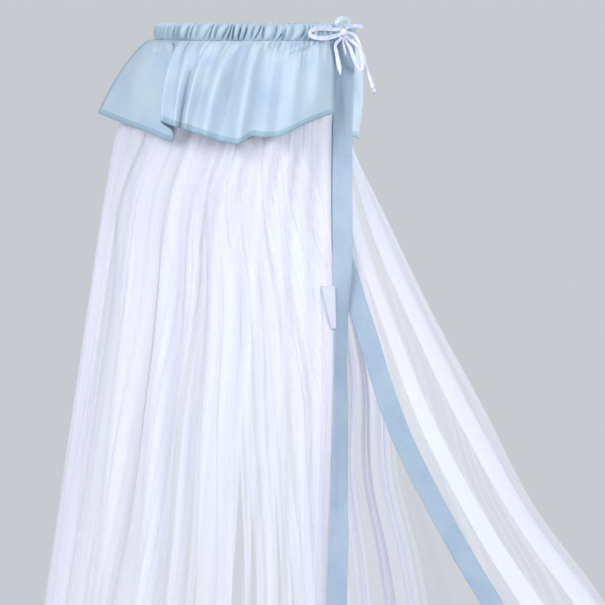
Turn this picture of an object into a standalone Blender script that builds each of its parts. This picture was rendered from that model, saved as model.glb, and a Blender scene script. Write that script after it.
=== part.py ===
"""Mosquito net canopy for a cot: a gathered heading with a tie, two frills, two edgings and the net.

Metres, +Z up. The origin is the centre of the heading's top edge. Angles round the ring are in
degrees from the front, -Y, and grow towards the right, +X. The canopy opens at the front right.
"""

import math

import bpy
from mathutils import Vector

NAME = "mosquito_net_canopy"

# Heading: a gathered tunnel, open at the front right.
HEADING_HEIGHT = 0.0275
HEADING_INNER = 0.146
HEADING_OUTER = 0.1675
HEADING_ENDS_DEG = (61.0, 65.0 - 360.0)
PUCKERS = 61
PUCKER_DEPTH = 0.0052
PUCKER_LEAN_DEG = 1.9
# Its upright section: how much of a pucker's depth a ridge swells out by and a crease sinks by,
# and how much of the lean each corner takes.
HEADING_SECTION = (
    # radius, depth, swell, sink, lean
    (HEADING_INNER, HEADING_HEIGHT, 0.0, 0.0, 0.0),
    (HEADING_OUTER, HEADING_HEIGHT, 0.0, 0.0, 0.0),
    (HEADING_OUTER, 0.0195, 1.0, 0.0, 0.3),
    (HEADING_OUTER, 0.0080, 1.0, 0.0, 0.9),
    (0.1630, 0.0000, 0.2, 0.6, 1.0),
    (0.1510, 0.0000, 0.0, 0.6, 1.0),
    (HEADING_INNER, 0.0080, -0.5, 0.0, 1.0),
)

# Folds and puckers lie closer and wider by turns along their width.
UNEVEN_WAVES = (
    # waves, shift
    (3, 0.010),
    (7, 0.006),
)

# Net: one width of tulle, gathered under the heading.
NET_LENGTH = 1.62
NET_THICKNESS = 0.0014
NET_FOLDS = 24
NET_FOLD_STEPS = 6
NET_ROWS = 12
NET_SEAM_GAP = 0.0007
NET_WALK = 0.010
SEAM_GAP = 0.0003

# The net's outer reach to each side, how far right its two edges hang, and how far its folds have
# spread from their even places in the gathers towards their places in NET_FAN, at each depth.
NET_REACH = (
    # depth, left, right, front, back, left_edge, right_edge, spread
    (0.030, 0.1596, 0.1596, 0.1596, 0.1596, 0.1365, 0.1552, 0.00),
    (0.100, 0.2040, 0.1615, 0.1850, 0.1720, 0.1330, 0.1540, 0.05),
    (0.200, 0.2410, 0.1670, 0.2130, 0.1900, 0.1305, 0.1530, 0.15),
    (0.340, 0.2680, 0.2325, 0.2350, 0.2150, 0.1300, 0.1580, 0.45),
    (0.500, 0.2950, 0.3100, 0.2570, 0.2450, 0.1330, 0.2050, 0.68),
    (0.660, 0.3200, 0.3970, 0.2750, 0.2700, 0.1300, 0.2590, 0.82),
    (0.850, 0.3500, 0.4970, 0.2930, 0.2960, 0.1235, 0.3555, 0.93),
    (1.040, 0.3810, 0.6355, 0.3110, 0.3180, 0.1185, 0.4660, 1.00),
    (1.300, 0.4170, 0.7750, 0.3350, 0.3450, 0.1140, 0.5770, 1.05),
    (1.620, 0.4570, 0.8750, 0.3620, 0.3750, 0.1090, 0.6580, 1.08),
)
# Where the cloth gathered at one share of the ring hangs on the low outline, and how full its
# folds are there: deep from the front round to the back, nearly flat where it is drawn out.
NET_FAN = (
    # share, low_share, fullness
    (0.000, 0.000, 0.50),
    (0.082, 0.024, 0.80),
    (0.170, 0.079, 0.95),
    (0.302, 0.190, 0.90),
    (0.433, 0.312, 0.75),
    (0.565, 0.456, 1.00),
    (0.697, 0.594, 1.00),
    (0.808, 0.689, 1.05),
    (0.845, 0.750, 0.40),
    (0.920, 0.864, 0.30),
    (1.000, 1.000, 0.30),
)
# How deep the net's main folds reach inwards at each depth.
NET_FOLD_DEPTH = (
    # depth, fold
    (0.030, 0.011),
    (0.200, 0.016),
    (0.500, 0.028),
    (1.000, 0.040),
    (1.620, 0.036),
)

# Frills: each rib runs from the heading's seam to a point of the hem. The lower its spring, the
# sooner it stands out from the seam.
FRILL_TOP_RADIUS = 0.1666
FRILL_THICKNESS = 0.0018
FRILL_STAND = 0.003
FRILL_DROP = 0.160
FRILL_HEM = 0.011
FRILL_HEM_STEP = 0.010
FRILL_THIN = 0.68
FRILL_ROWS = 6
FRILL_GATHER_DEPTH = 0.0022
FRILL_FALL = 1.45
FRILL_RIB_STEPS = 3
FRONT_RIBS = (
    # ring_deg, hem_x, hem_y, hem_z, belly, spring
    (54.0, 0.1344, -0.152, -0.1439, 0.000, 0.80),
    (43.0, 0.1027, -0.190, -0.1529, 0.010, 0.90),
    (36.0, 0.0817, -0.214, -0.1603, 0.004, 0.95),
    (29.0, 0.0610, -0.234, -0.1693, 0.010, 0.95),
    (22.5, 0.0404, -0.240, -0.1768, 0.008, 0.95),
    (16.5, 0.0194, -0.224, -0.1784, -0.003, 0.95),
    (10.5, -0.0005, -0.226, -0.1770, 0.002, 0.95),
    (5.0, -0.0205, -0.250, -0.1872, 0.012, 0.95),
    (-1.0, -0.0506, -0.230, -0.1839, -0.004, 0.95),
    (-8.0, -0.0726, -0.246, -0.1750, 0.012, 0.95),
    (-16.0, -0.0936, -0.234, -0.1694, 0.000, 0.95),
    (-22.0, -0.1042, -0.246, -0.1640, 0.010, 0.95),
    (-27.0, -0.1130, -0.233, -0.1633, 0.000, 0.95),
    (-32.0, -0.1200, -0.246, -0.1600, 0.010, 0.95),
    (-36.5, -0.1278, -0.241, -0.1575, 0.006, 0.95),
    (-42.0, -0.1412, -0.250, -0.1511, 0.014, 0.95),
    (-47.0, -0.1386, -0.232, -0.1575, 0.000, 0.92),
    (-51.0, -0.1260, -0.210, -0.1701, -0.012, 0.90),
    (-55.0, -0.1306, -0.193, -0.1865, 0.002, 0.88),
    (-63.0, -0.1652, -0.172, -0.1756, -0.002, 0.88),
    (-72.0, -0.2028, -0.124, -0.1663, 0.006, 0.90),
    (-82.0, -0.2376, -0.064, -0.1589, 0.002, 0.92),
    (-92.0, -0.2670, -0.012, -0.1525, 0.002, 0.92),
)
BACK_RIBS = (
    # ring_deg, hem_x, hem_y, hem_z, belly, spring
    (68.0, 0.1590, -0.086, -0.1860, 0.006, 0.80),
    (74.0, 0.1700, -0.067, -0.1890, 0.010, 0.80),
    (80.0, 0.1760, -0.040, -0.1930, 0.012, 0.80),
    (87.0, 0.1775, -0.008, -0.1960, 0.012, 0.80),
    (94.0, 0.1770, 0.022, -0.1930, 0.008, 0.80),
    (103.0, 0.1760, 0.054, -0.1860, 0.008, 0.80),
    (113.0, 0.1780, 0.088, -0.1790, 0.008, 0.80),
    (124.0, 0.1620, 0.124, -0.1870, 0.006, 0.80),
    (135.0, 0.1590, 0.168, -0.1770, 0.012, 0.75),
    (147.0, 0.1250, 0.186, -0.1830, 0.008, 0.72),
    (158.0, 0.0950, 0.223, -0.1740, 0.014, 0.70),
    (170.0, 0.0430, 0.219, -0.1800, 0.008, 0.70),
    (181.0, -0.0010, 0.243, -0.1720, 0.014, 0.70),
    (193.0, -0.0500, 0.226, -0.1780, 0.008, 0.70),
    (204.0, -0.0990, 0.238, -0.1700, 0.014, 0.70),
    (216.0, -0.1360, 0.206, -0.1760, 0.008, 0.70),
    (228.0, -0.1850, 0.189, -0.1680, 0.014, 0.68),
    (240.0, -0.2080, 0.139, -0.1740, 0.008, 0.85),
    (251.0, -0.2460, 0.099, -0.1650, 0.008, 0.90),
    (262.0, -0.2560, 0.040, -0.1620, 0.006, 0.92),
)

# Edgings: doubled strips along the net's two edges.
BAND_WIDTH = 0.033
BAND_THICKNESS = 0.0025
BAND_GAP = 0.0007
# How far each edging's width is turned from facing the front, towards the back, at each depth.
LEFT_BAND_TURN = (
    # depth, turn_deg
    (0.03, 0.0),
    (0.30, 2.0),
    (0.38, 12.0),
    (0.46, 42.0),
    (0.54, 50.0),
    (0.64, 41.0),
    (0.76, 30.0),
    (0.86, 9.0),
    (1.62, 4.0),
)
RIGHT_BAND_TURN = (
    # depth, turn_deg
    (0.03, 70.0),
    (0.10, 62.0),
    (0.20, 48.0),
    (0.30, 28.0),
    (0.40, 16.0),
    (0.54, 12.0),
    (1.62, 12.0),
)

# Label: a blank folded tab that hangs askew on the left edging's inner side.
LABEL_TOP = 0.420
LABEL_HEIGHT = 0.068
LABEL_TOP_WIDTH = 0.019
LABEL_FOOT_WIDTH = 0.004
LABEL_LAP = 0.004
LABEL_GAP = 0.0011
LABEL_BOW = 0.0035
LABEL_ROWS = 4
LABEL_THICKNESS = 0.0012

# Tie: a soft cord, bowed over the heading's opening.
TIE_RADIUS = 0.0019
TIE_STEP = 0.009
ROUTE_FINENESS = 12
KNOT_DEG = 57.0
KNOT_DEPTH = 0.014
KNOT_HALF = (0.0095, 0.0062, 0.0072)
KNOT_WAIST = 0.14
KNOT_WAIST_SPAN = 0.30
KNOT_SEGMENTS = 12
KNOT_RINGS = 8
KNOT_CLEARANCE = 0.0008
KNOT_LEAD = 0.0050
TIP_KNOT_RADIUS = 0.0042
TIE_ROUTES = {
    # leaves_knot_deg, points, returns_deg; each point is ring_deg, radius, z
    "tie_loop_left": (
        158.0,
        (
            (49.5, 0.1786, -0.0096),
            (44.3, 0.1789, -0.0080),
            (38.6, 0.1804, -0.0074),
            (33.4, 0.1815, -0.0090),
            (30.9, 0.1820, -0.0149),
            (33.2, 0.1820, -0.0210),
            (38.4, 0.1812, -0.0231),
            (43.9, 0.1803, -0.0224),
            (48.8, 0.1805, -0.0200),
        ),
        199.0,
    ),
    "tie_loop_right": (
        -38.0,
        (
            (60.1, 0.1995, -0.0374),
            (60.3, 0.2061, -0.0521),
            (59.8, 0.2090, -0.0659),
            (58.5, 0.2090, -0.0755),
            (56.8, 0.2064, -0.0700),
            (55.6, 0.2018, -0.0559),
            (55.2, 0.1955, -0.0400),
        ),
        -68.0,
    ),
    "tie_loop_back": (
        124.0,
        (
            (51.4, 0.1785, 0.0000),
            (52.2, 0.1785, 0.0052),
            (55.2, 0.1795, 0.0082),
            (59.0, 0.1810, 0.0072),
            (61.0, 0.1815, 0.0028),
        ),
        72.0,
    ),
    "tie_end_short": (
        -128.0,
        (
            (48.4, 0.1825, -0.0345),
            (46.8, 0.1898, -0.0489),
            (46.6, 0.1951, -0.0667),
            (46.5, 0.1990, -0.0828),
        ),
        None,
    ),
    "tie_end_thin": (
        -98.0,
        (
            (54.0, 0.1861, -0.0380),
            (53.8, 0.1908, -0.0518),
        ),
        None,
    ),
    "tie_end_long": (
        -6.0,
        (
            (63.5, 0.1874, -0.0190),
            (63.7, 0.1959, -0.0320),
            (63.1, 0.2053, -0.0540),
            (63.0, 0.2136, -0.0793),
            (63.4, 0.2227, -0.1056),
        ),
        None,
    ),
    "tie_stub": (
        34.0,
        (
            (64.5, 0.1800, -0.0050),
            (68.0, 0.1830, -0.0045),
            (71.5, 0.1870, -0.0050),
            (74.5, 0.1905, -0.0060),
        ),
        None,
    ),
}

COLOURS = {
    # red, green, blue, roughness
    "net": (0.86, 0.89, 0.96, 0.85),
    "frill": (0.50, 0.68, 0.86, 0.80),
    "band": (0.40, 0.60, 0.82, 0.80),
    "tie": (0.80, 0.82, 0.92, 0.75),
    "label": (0.85, 0.87, 0.92, 0.70),
}


def clear_scene():
    for item in list(bpy.data.objects):
        bpy.data.objects.remove(item)


def make_collection():
    parts = bpy.data.collections.new(NAME)
    bpy.context.scene.collection.children.link(parts)
    return parts


def make_materials():
    made = {}
    for name, (red, green, blue, roughness) in COLOURS.items():
        material = bpy.data.materials.new(name)
        material.use_nodes = True
        shader = material.node_tree.nodes["Principled BSDF"]
        shader.inputs["Base Color"].default_value = (red, green, blue, 1.0)
        shader.inputs["Roughness"].default_value = roughness
        shader.inputs["Metallic"].default_value = 0.0
        made[name] = material
    return made


def on_ring(degrees, radius, z):
    """A point at an angle round the ring."""
    angle = math.radians(degrees)
    return Vector((radius * math.sin(angle), -radius * math.cos(angle), z))


def between(rows, key):
    """Row of the smooth curve through a table's rows, at a value of its first column."""
    key = min(max(key, rows[0][0]), rows[-1][0])
    last = len(rows) - 1
    index = 0
    while index < last - 1 and rows[index + 1][0] < key:
        index += 1
    low, high = rows[index], rows[index + 1]
    before = rows[max(index - 1, 0)]
    after = rows[min(index + 2, last)]
    span = high[0] - low[0]
    t = (key - low[0]) / span
    values = []
    for column in range(1, len(low)):
        slope_low = (high[column] - before[column]) / (high[0] - before[0]) * span
        slope_high = (after[column] - low[column]) / (after[0] - low[0]) * span
        values.append(
            low[column] * (2 * t**3 - 3 * t**2 + 1)
            + slope_low * (t**3 - 2 * t**2 + t)
            + high[column] * (3 * t**2 - 2 * t**3)
            + slope_high * (t**3 - t**2)
        )
    return values


def uneven(share):
    """Share of a width with its folds drawn closer and wider by turns; its ends stay in place."""
    return share + sum(shift * math.sin(2 * math.pi * waves * share) for waves, shift in UNEVEN_WAVES)


def net_outline(place, depth):
    """A point on the net's outer reach, and the direction inwards, at a place along its width."""
    left, right, front, back, left_edge, right_edge, spread = between(NET_REACH, depth)
    first = math.asin(left_edge / right)
    final = math.asin(right_edge / right) - 2 * math.pi
    share = uneven(place)
    low_share = between(NET_FAN, share)[0]
    angle = first + (final - first) * (share + (low_share - share) * spread)
    across = right if math.sin(angle) > 0 else left
    along = front if math.cos(angle) > 0 else back
    point = Vector((across * math.sin(angle), -along * math.cos(angle), -depth))
    tangent = Vector((across * math.cos(angle), along * math.sin(angle), 0.0)).normalized()
    inwards = Vector((-tangent.y, tangent.x, 0.0))
    return point, inwards


def net_depths(place):
    """Depths of evenly spaced rows down the net's cut length, so that a swept part ends higher."""
    depth = HEADING_HEIGHT + NET_SEAM_GAP
    depths = [depth]
    travelled = 0.0
    point = net_outline(place, depth)[0]
    for row in range(1, NET_ROWS + 1):
        target = NET_LENGTH * row / NET_ROWS
        while travelled < target:
            following = net_outline(place, depth + NET_WALK)[0]
            length = (following - point).length
            if travelled + length > target:
                depth += NET_WALK * (target - travelled) / length
                point = net_outline(place, depth)[0]
                travelled = target
                break
            travelled += length
            depth += NET_WALK
            point = following
        depths.append(depth)
    return depths


def net_point(place, depth):
    """A point of the folded net."""
    point, inwards = net_outline(place, depth)
    fold = 0.5 - 0.5 * math.cos(2 * math.pi * NET_FOLDS * place)
    fullness = between(NET_FAN, uneven(place))[1]
    return point + inwards * (between(NET_FOLD_DEPTH, depth)[0] * fold * fullness)


def sheet_object(name, grid, thickness, material, parts, hem_rows=0):
    """A sheet through a grid of points, thickened to both sides, and doubled along its hem."""
    columns = len(grid[0])
    verts = [point for row in grid for point in row]
    faces = []
    for i in range(len(grid) - 1):
        for j in range(columns - 1):
            corner = i * columns + j
            faces.append((corner, corner + 1, corner + columns + 1, corner + columns))
    mesh = bpy.data.meshes.new(name)
    mesh.from_pydata(verts, [], faces)
    mesh.materials.append(material)
    item = bpy.data.objects.new(name, mesh)
    parts.objects.link(item)
    solid = item.modifiers.new("thickness", "SOLIDIFY")
    solid.thickness = thickness
    solid.offset = 0.0
    if hem_rows:
        group = item.vertex_groups.new(name="hem")
        foot = range((len(grid) - hem_rows) * columns, len(grid) * columns)
        sides = [row * columns + column for row in range(len(grid)) for column in (0, columns - 1)]
        group.add([*foot, *sides], 1.0, "REPLACE")
        solid.vertex_group = "hem"
        solid.thickness_vertex_group = FRILL_THIN
    for face in mesh.polygons:
        face.use_smooth = True
    return item


def make_net(parts, material):
    """The tulle curtain: rows from the seam down, columns along the cut width."""
    columns = NET_FOLDS * NET_FOLD_STEPS
    places = [column / columns for column in range(columns + 1)]
    depths = [net_depths(place) for place in places]
    grid = []
    for row in range(NET_ROWS + 1):
        grid.append([net_point(place, depths[i][row]) for i, place in enumerate(places)])
    return sheet_object("net", grid, NET_THICKNESS, material, parts)


def make_heading(parts, material):
    """The gathered tunnel: an upright section carried round the ring, on creases and ridges in turn."""
    first, final = HEADING_ENDS_DEG
    steps = PUCKERS * 2
    verts = []
    for step in range(steps + 1):
        ridge = step % 2
        degrees = first + (final - first) * uneven(step / steps)
        lean_deg = PUCKER_LEAN_DEG * math.sin(math.pi * step / steps)
        for radius, depth, swell, sink, lean in HEADING_SECTION:
            out = radius + PUCKER_DEPTH * swell * ridge
            down = depth + PUCKER_DEPTH * sink * (1 - ridge)
            verts.append(on_ring(degrees + lean_deg * lean, out, -down))
    section = len(HEADING_SECTION)
    faces = [tuple(reversed(range(section)))]
    for step in range(steps):
        for i in range(section):
            here = step * section
            j = (i + 1) % section
            faces.append((here + i, here + j, here + section + j, here + section + i))
    faces.append(tuple(steps * section + i for i in range(section)))
    mesh = bpy.data.meshes.new("heading")
    mesh.from_pydata(verts, [], faces)
    mesh.materials.append(material)
    item = bpy.data.objects.new("heading", mesh)
    parts.objects.link(item)
    mesh.shade_smooth()
    return item


def frill_point(rib, gather, share):
    """A point of a frill: it springs out of the seam, then falls to the hem."""
    degrees, hem_x, hem_y, hem_z, belly, spring = rib
    top = on_ring(degrees, FRILL_TOP_RADIUS + gather, -HEADING_HEIGHT - SEAM_GAP - FRILL_STAND)
    hem = Vector((hem_x, hem_y, hem_z))
    outwards = Vector((hem_x, hem_y, 0.0)).normalized()
    flat = share**spring
    drop = share**FRILL_FALL
    point = Vector((top.x + (hem.x - top.x) * flat, top.y + (hem.y - top.y) * flat, 0.0))
    point.z = top.z + (hem.z - top.z) * drop
    return point + outwards * (belly * 4 * share * (1 - share))


def make_frill(name, ribs, parts, material):
    """A frill through its table of ribs, with rows set close at the hem for its doubled edge."""
    hem_share = 1 - FRILL_HEM / FRILL_DROP
    shares = [hem_share * row / (FRILL_ROWS - 1) for row in range(FRILL_ROWS)]
    shares += [hem_share + FRILL_HEM_STEP, 1.0]
    numbered = [(float(i),) + rib for i, rib in enumerate(ribs)]
    count = (len(ribs) - 1) * FRILL_RIB_STEPS
    along = [between(numbered, i / FRILL_RIB_STEPS) for i in range(count + 1)]
    gathers = [FRILL_GATHER_DEPTH * (-1) ** i for i in range(count + 1)]
    grid = [[frill_point(rib, gather, share) for rib, gather in zip(along, gathers)] for share in shares]
    stand = Vector((0.0, 0.0, FRILL_STAND))
    grid.insert(0, [point + stand for point in grid[0]])
    return sheet_object(name, grid, FRILL_THICKNESS, material, parts, hem_rows=2)


def band_grid(place, turn_table, side):
    """Rows down an edging: its seam side follows the net's edge, its width is turned by the table."""
    grid = []
    rows = [(depth, *net_outline(place, depth)) for depth in net_depths(place)]
    for i, (depth, point, inwards) in enumerate(rows):
        turn = math.radians(between(turn_table, depth)[0])
        width_way = Vector((math.cos(turn), math.sin(turn), 0.0)) * side
        fall = (rows[min(i + 1, NET_ROWS)][1] - rows[max(i - 1, 0)][1]).normalized()
        across = BAND_WIDTH / fall.cross(width_way).length
        net_side = NET_THICKNESS / 2 * abs(inwards.dot(width_way))
        seam = point + width_way * (BAND_GAP + net_side)
        grid.append([seam, seam + width_way * across / 2, seam + width_way * across])
    return grid


def make_band(name, place, turn_table, side, parts, material):
    """A doubled strip along one edge of the net."""
    grid = band_grid(place, turn_table, side)
    return sheet_object(name, grid, BAND_THICKNESS, material, parts)


def make_label(parts, material):
    """A blank tab in front of the left edging's seam, wide above and narrow below."""
    lift = BAND_THICKNESS / 2 + LABEL_GAP + LABEL_THICKNESS / 2
    grid = []
    for row in range(LABEL_ROWS + 1):
        t = row / LABEL_ROWS
        depth = LABEL_TOP + LABEL_HEIGHT * t
        seam = net_outline(0.0, depth)[0] + Vector((0.0, -lift, 0.0))
        width = LABEL_TOP_WIDTH + (LABEL_FOOT_WIDTH - LABEL_TOP_WIDTH) * t
        bow = LABEL_BOW * math.sin(math.pi * t)
        grid.append([seam + Vector((-width, -bow, 0.0)), seam + Vector((LABEL_LAP, 0.0, 0.0))])
    return sheet_object("label", grid, LABEL_THICKNESS, material, parts)


def knot_centre():
    """Centre of the knot, seated on the ridges of the heading's outer side."""
    radius = HEADING_OUTER + PUCKER_DEPTH + SEAM_GAP + KNOT_HALF[1] * (1 - KNOT_WAIST)
    return on_ring(KNOT_DEG, radius, -KNOT_DEPTH)


def knot_root(degrees):
    """Where a stretch of the tie leaves the knot's rim, and the way it sets out: two points."""
    angle = math.radians(degrees)
    ring = math.radians(KNOT_DEG)
    along = Vector((math.cos(ring), math.sin(ring), 0.0))
    up = Vector((0.0, 0.0, 1.0))
    rim = along * KNOT_HALF[0] * math.cos(angle) + up * KNOT_HALF[2] * math.sin(angle)
    away = (along * math.cos(angle) / KNOT_HALF[0] + up * math.sin(angle) / KNOT_HALF[2]).normalized()
    start = knot_centre() + rim + away * KNOT_CLEARANCE
    return [start, start + away * KNOT_LEAD]


def make_lump(name, centre, half, turn_deg, parts, material):
    """A pulled-tight knot: a small cage smoothed into a lump with a waist."""
    bpy.ops.mesh.primitive_uv_sphere_add(segments=KNOT_SEGMENTS, ring_count=KNOT_RINGS, radius=1.0)
    item = bpy.context.object
    item.name = name
    item.data.name = name
    for vertex in item.data.vertices:
        waist = 1.0 - KNOT_WAIST * math.exp(-((vertex.co.x / KNOT_WAIST_SPAN) ** 2))
        vertex.co.x *= half[0]
        vertex.co.y *= half[1] * waist
        vertex.co.z *= half[2] * waist
    item.location = centre
    item.rotation_euler = (0.0, 0.0, math.radians(turn_deg))
    item.data.materials.append(material)
    item.data.shade_smooth()
    for owner in list(item.users_collection):
        owner.objects.unlink(item)
    parts.objects.link(item)
    return item


def smooth_route(points, step):
    """Evenly spaced points on the smooth curve through a route's own points."""
    rows = [(float(i), p.x, p.y, p.z) for i, p in enumerate(points)]
    count = (len(points) - 1) * ROUTE_FINENESS
    fine = [Vector(between(rows, i / ROUTE_FINENESS)) for i in range(count + 1)]
    lengths = [0.0]
    for a, b in zip(fine, fine[1:]):
        lengths.append(lengths[-1] + (b - a).length)
    count = max(round(lengths[-1] / step), 3)
    route = []
    i = 0
    for n in range(count + 1):
        target = lengths[-1] * n / count
        while i < len(fine) - 2 and lengths[i + 1] < target:
            i += 1
        t = (target - lengths[i]) / (lengths[i + 1] - lengths[i])
        route.append(fine[i].lerp(fine[i + 1], min(t, 1.0)))
    return route


def make_cord(name, points, parts, material):
    """A stretch of the tie as a round tube along its route."""
    route = smooth_route(points, TIE_STEP)
    curve = bpy.data.curves.new(name, "CURVE")
    curve.dimensions = "3D"
    spline = curve.splines.new("POLY")
    spline.points.add(len(route) - 1)
    for target, point in zip(spline.points, route):
        target.co = (*point, 1.0)
    curve.bevel_depth = TIE_RADIUS
    curve.bevel_resolution = 2
    curve.use_fill_caps = True
    curve.materials.append(material)
    item = bpy.data.objects.new(name, curve)
    parts.objects.link(item)
    return item


def tie_routes():
    """Routes of the tie's loops and ends, each from the knot's rim."""
    routes = {}
    for name, (leaves, points, returns) in TIE_ROUTES.items():
        route = knot_root(leaves) + [on_ring(*point) for point in points]
        if returns is not None:
            route += reversed(knot_root(returns))
        routes[name] = route
    return routes


def main():
    clear_scene()
    parts = make_collection()
    materials = make_materials()
    make_heading(parts, materials["frill"])
    make_net(parts, materials["net"])
    make_frill("valance_front", FRONT_RIBS, parts, materials["frill"])
    make_frill("valance_back", BACK_RIBS, parts, materials["frill"])
    make_band("band_left", 0.0, LEFT_BAND_TURN, 1.0, parts, materials["band"])
    make_band("band_right", 1.0, RIGHT_BAND_TURN, -1.0, parts, materials["band"])
    make_label(parts, materials["label"])
    make_lump("tie_knot", knot_centre(), KNOT_HALF, KNOT_DEG, parts, materials["tie"])
    routes = tie_routes()
    for name, points in routes.items():
        make_cord(name, points, parts, materials["tie"])
    long_end = routes["tie_end_long"]
    onwards = (long_end[-1] - long_end[-2]).normalized()
    tip = long_end[-1] + onwards * (TIP_KNOT_RADIUS + KNOT_CLEARANCE)
    half = (TIP_KNOT_RADIUS,) * 3
    make_lump("tie_tip_knot", tip, half, 0.0, parts, materials["tie"])


main()
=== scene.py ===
import math

import bmesh
import bpy
import numpy as np
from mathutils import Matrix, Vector


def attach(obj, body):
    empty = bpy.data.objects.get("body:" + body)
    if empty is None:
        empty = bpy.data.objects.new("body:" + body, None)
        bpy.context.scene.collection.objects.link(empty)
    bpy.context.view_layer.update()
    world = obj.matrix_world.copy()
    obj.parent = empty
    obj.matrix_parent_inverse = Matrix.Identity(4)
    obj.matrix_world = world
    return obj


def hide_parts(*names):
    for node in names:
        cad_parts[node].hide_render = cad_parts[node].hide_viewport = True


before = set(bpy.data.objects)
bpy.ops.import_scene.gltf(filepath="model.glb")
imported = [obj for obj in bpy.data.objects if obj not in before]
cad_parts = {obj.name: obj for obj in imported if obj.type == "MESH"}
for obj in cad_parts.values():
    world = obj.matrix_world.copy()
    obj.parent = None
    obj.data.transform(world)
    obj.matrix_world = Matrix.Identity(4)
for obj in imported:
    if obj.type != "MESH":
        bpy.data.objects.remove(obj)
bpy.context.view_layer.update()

# Mosquito net canopy. Metres, +Z up, origin at the centre of the heading's top edge, front -Y.
# Angles round the ring are in degrees from the front and grow towards +X.

ROOT = "root"

# ---- Sizes and tables that the solids share ----
HEADING_HEIGHT = 0.0275
HEADING_OUTER = 0.1675
HEADING_ENDS_DEG = (61.0, 65.0 - 360.0)
NET_LENGTH = 1.62
NET_FOLDS = 24
NET_TOP = HEADING_HEIGHT + 0.0007
NET_THICKNESS = 0.0014
FRILL_TOP_RADIUS = 0.1666
FRILL_FALL = 1.45
FRILL_TOP = HEADING_HEIGHT - 0.0004
BAND_WIDTH = 0.033
BAND_GAP = 0.0007
LABEL_TOP = 0.420
LABEL_HEIGHT = 0.068
LABEL_TOP_WIDTH = 0.019
LABEL_FOOT_WIDTH = 0.004
KNOT_DEG = 57.0
KNOT_DEPTH = 0.014
KNOT_HALF = (0.0095, 0.0062, 0.0072)
PUCKER_OUT = 0.0052
KNOT_GAP = 0.0003
KNOT_PRESSED = 0.86
KNOT_RADIUS = HEADING_OUTER + PUCKER_OUT + KNOT_GAP + KNOT_HALF[1] * KNOT_PRESSED
KNOT_CLEARANCE = 0.0008
KNOT_LEAD = 0.0050
TIP_KNOT_RADIUS = 0.0042
UNEVEN_WAVES = (
    # waves, shift
    (3, 0.010),
    (7, 0.006),
)
NET_REACH = (
    # depth, left, right, front, back, left_edge, right_edge, spread
    (0.030, 0.1596, 0.1596, 0.1596, 0.1596, 0.1365, 0.1552, 0.00),
    (0.100, 0.2040, 0.1615, 0.1850, 0.1720, 0.1330, 0.1540, 0.05),
    (0.200, 0.2410, 0.1670, 0.2130, 0.1900, 0.1305, 0.1530, 0.15),
    (0.340, 0.2680, 0.2325, 0.2350, 0.2150, 0.1300, 0.1580, 0.45),
    (0.500, 0.2950, 0.3100, 0.2570, 0.2450, 0.1330, 0.2050, 0.68),
    (0.660, 0.3200, 0.3970, 0.2750, 0.2700, 0.1300, 0.2590, 0.82),
    (0.850, 0.3500, 0.4970, 0.2930, 0.2960, 0.1235, 0.3555, 0.93),
    (1.040, 0.3810, 0.6355, 0.3110, 0.3180, 0.1185, 0.4660, 1.00),
    (1.300, 0.4170, 0.7750, 0.3350, 0.3450, 0.1140, 0.5770, 1.05),
    (1.620, 0.4570, 0.8750, 0.3620, 0.3750, 0.1090, 0.6580, 1.08),
)
NET_FAN = (
    # share, low_share, fullness
    (0.000, 0.000, 0.50),
    (0.082, 0.024, 0.80),
    (0.170, 0.079, 0.95),
    (0.302, 0.190, 0.90),
    (0.433, 0.312, 0.75),
    (0.565, 0.456, 1.00),
    (0.697, 0.594, 1.00),
    (0.808, 0.689, 1.05),
    (0.845, 0.750, 0.40),
    (0.920, 0.864, 0.30),
    (1.000, 1.000, 0.30),
)
NET_FOLD_DEPTH = (
    # depth, fold
    (0.030, 0.011),
    (0.200, 0.016),
    (0.500, 0.028),
    (1.000, 0.040),
    (1.620, 0.036),
)
FRONT_RIBS = (
    # ring_deg, hem_x, hem_y, hem_z, belly, spring
    (54.0, 0.1344, -0.152, -0.1439, 0.000, 0.80),
    (43.0, 0.1027, -0.190, -0.1529, 0.010, 0.90),
    (36.0, 0.0817, -0.214, -0.1603, 0.004, 0.95),
    (29.0, 0.0610, -0.234, -0.1693, 0.010, 0.95),
    (22.5, 0.0404, -0.240, -0.1768, 0.008, 0.95),
    (16.5, 0.0194, -0.224, -0.1784, -0.003, 0.95),
    (10.5, -0.0005, -0.226, -0.1770, 0.002, 0.95),
    (5.0, -0.0205, -0.250, -0.1872, 0.012, 0.95),
    (-1.0, -0.0506, -0.230, -0.1839, -0.004, 0.95),
    (-8.0, -0.0726, -0.246, -0.1750, 0.012, 0.95),
    (-16.0, -0.0936, -0.234, -0.1694, 0.000, 0.95),
    (-22.0, -0.1042, -0.246, -0.1640, 0.010, 0.95),
    (-27.0, -0.1130, -0.233, -0.1633, 0.000, 0.95),
    (-32.0, -0.1200, -0.246, -0.1600, 0.010, 0.95),
    (-36.5, -0.1278, -0.241, -0.1575, 0.006, 0.95),
    (-42.0, -0.1412, -0.250, -0.1511, 0.014, 0.95),
    (-47.0, -0.1386, -0.232, -0.1575, 0.000, 0.92),
    (-51.0, -0.1260, -0.210, -0.1701, -0.012, 0.90),
    (-55.0, -0.1306, -0.193, -0.1865, 0.002, 0.88),
    (-63.0, -0.1652, -0.172, -0.1756, -0.002, 0.88),
    (-72.0, -0.2028, -0.124, -0.1663, 0.006, 0.90),
    (-82.0, -0.2376, -0.064, -0.1589, 0.002, 0.92),
    (-92.0, -0.2670, -0.012, -0.1525, 0.002, 0.92),
)
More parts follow.
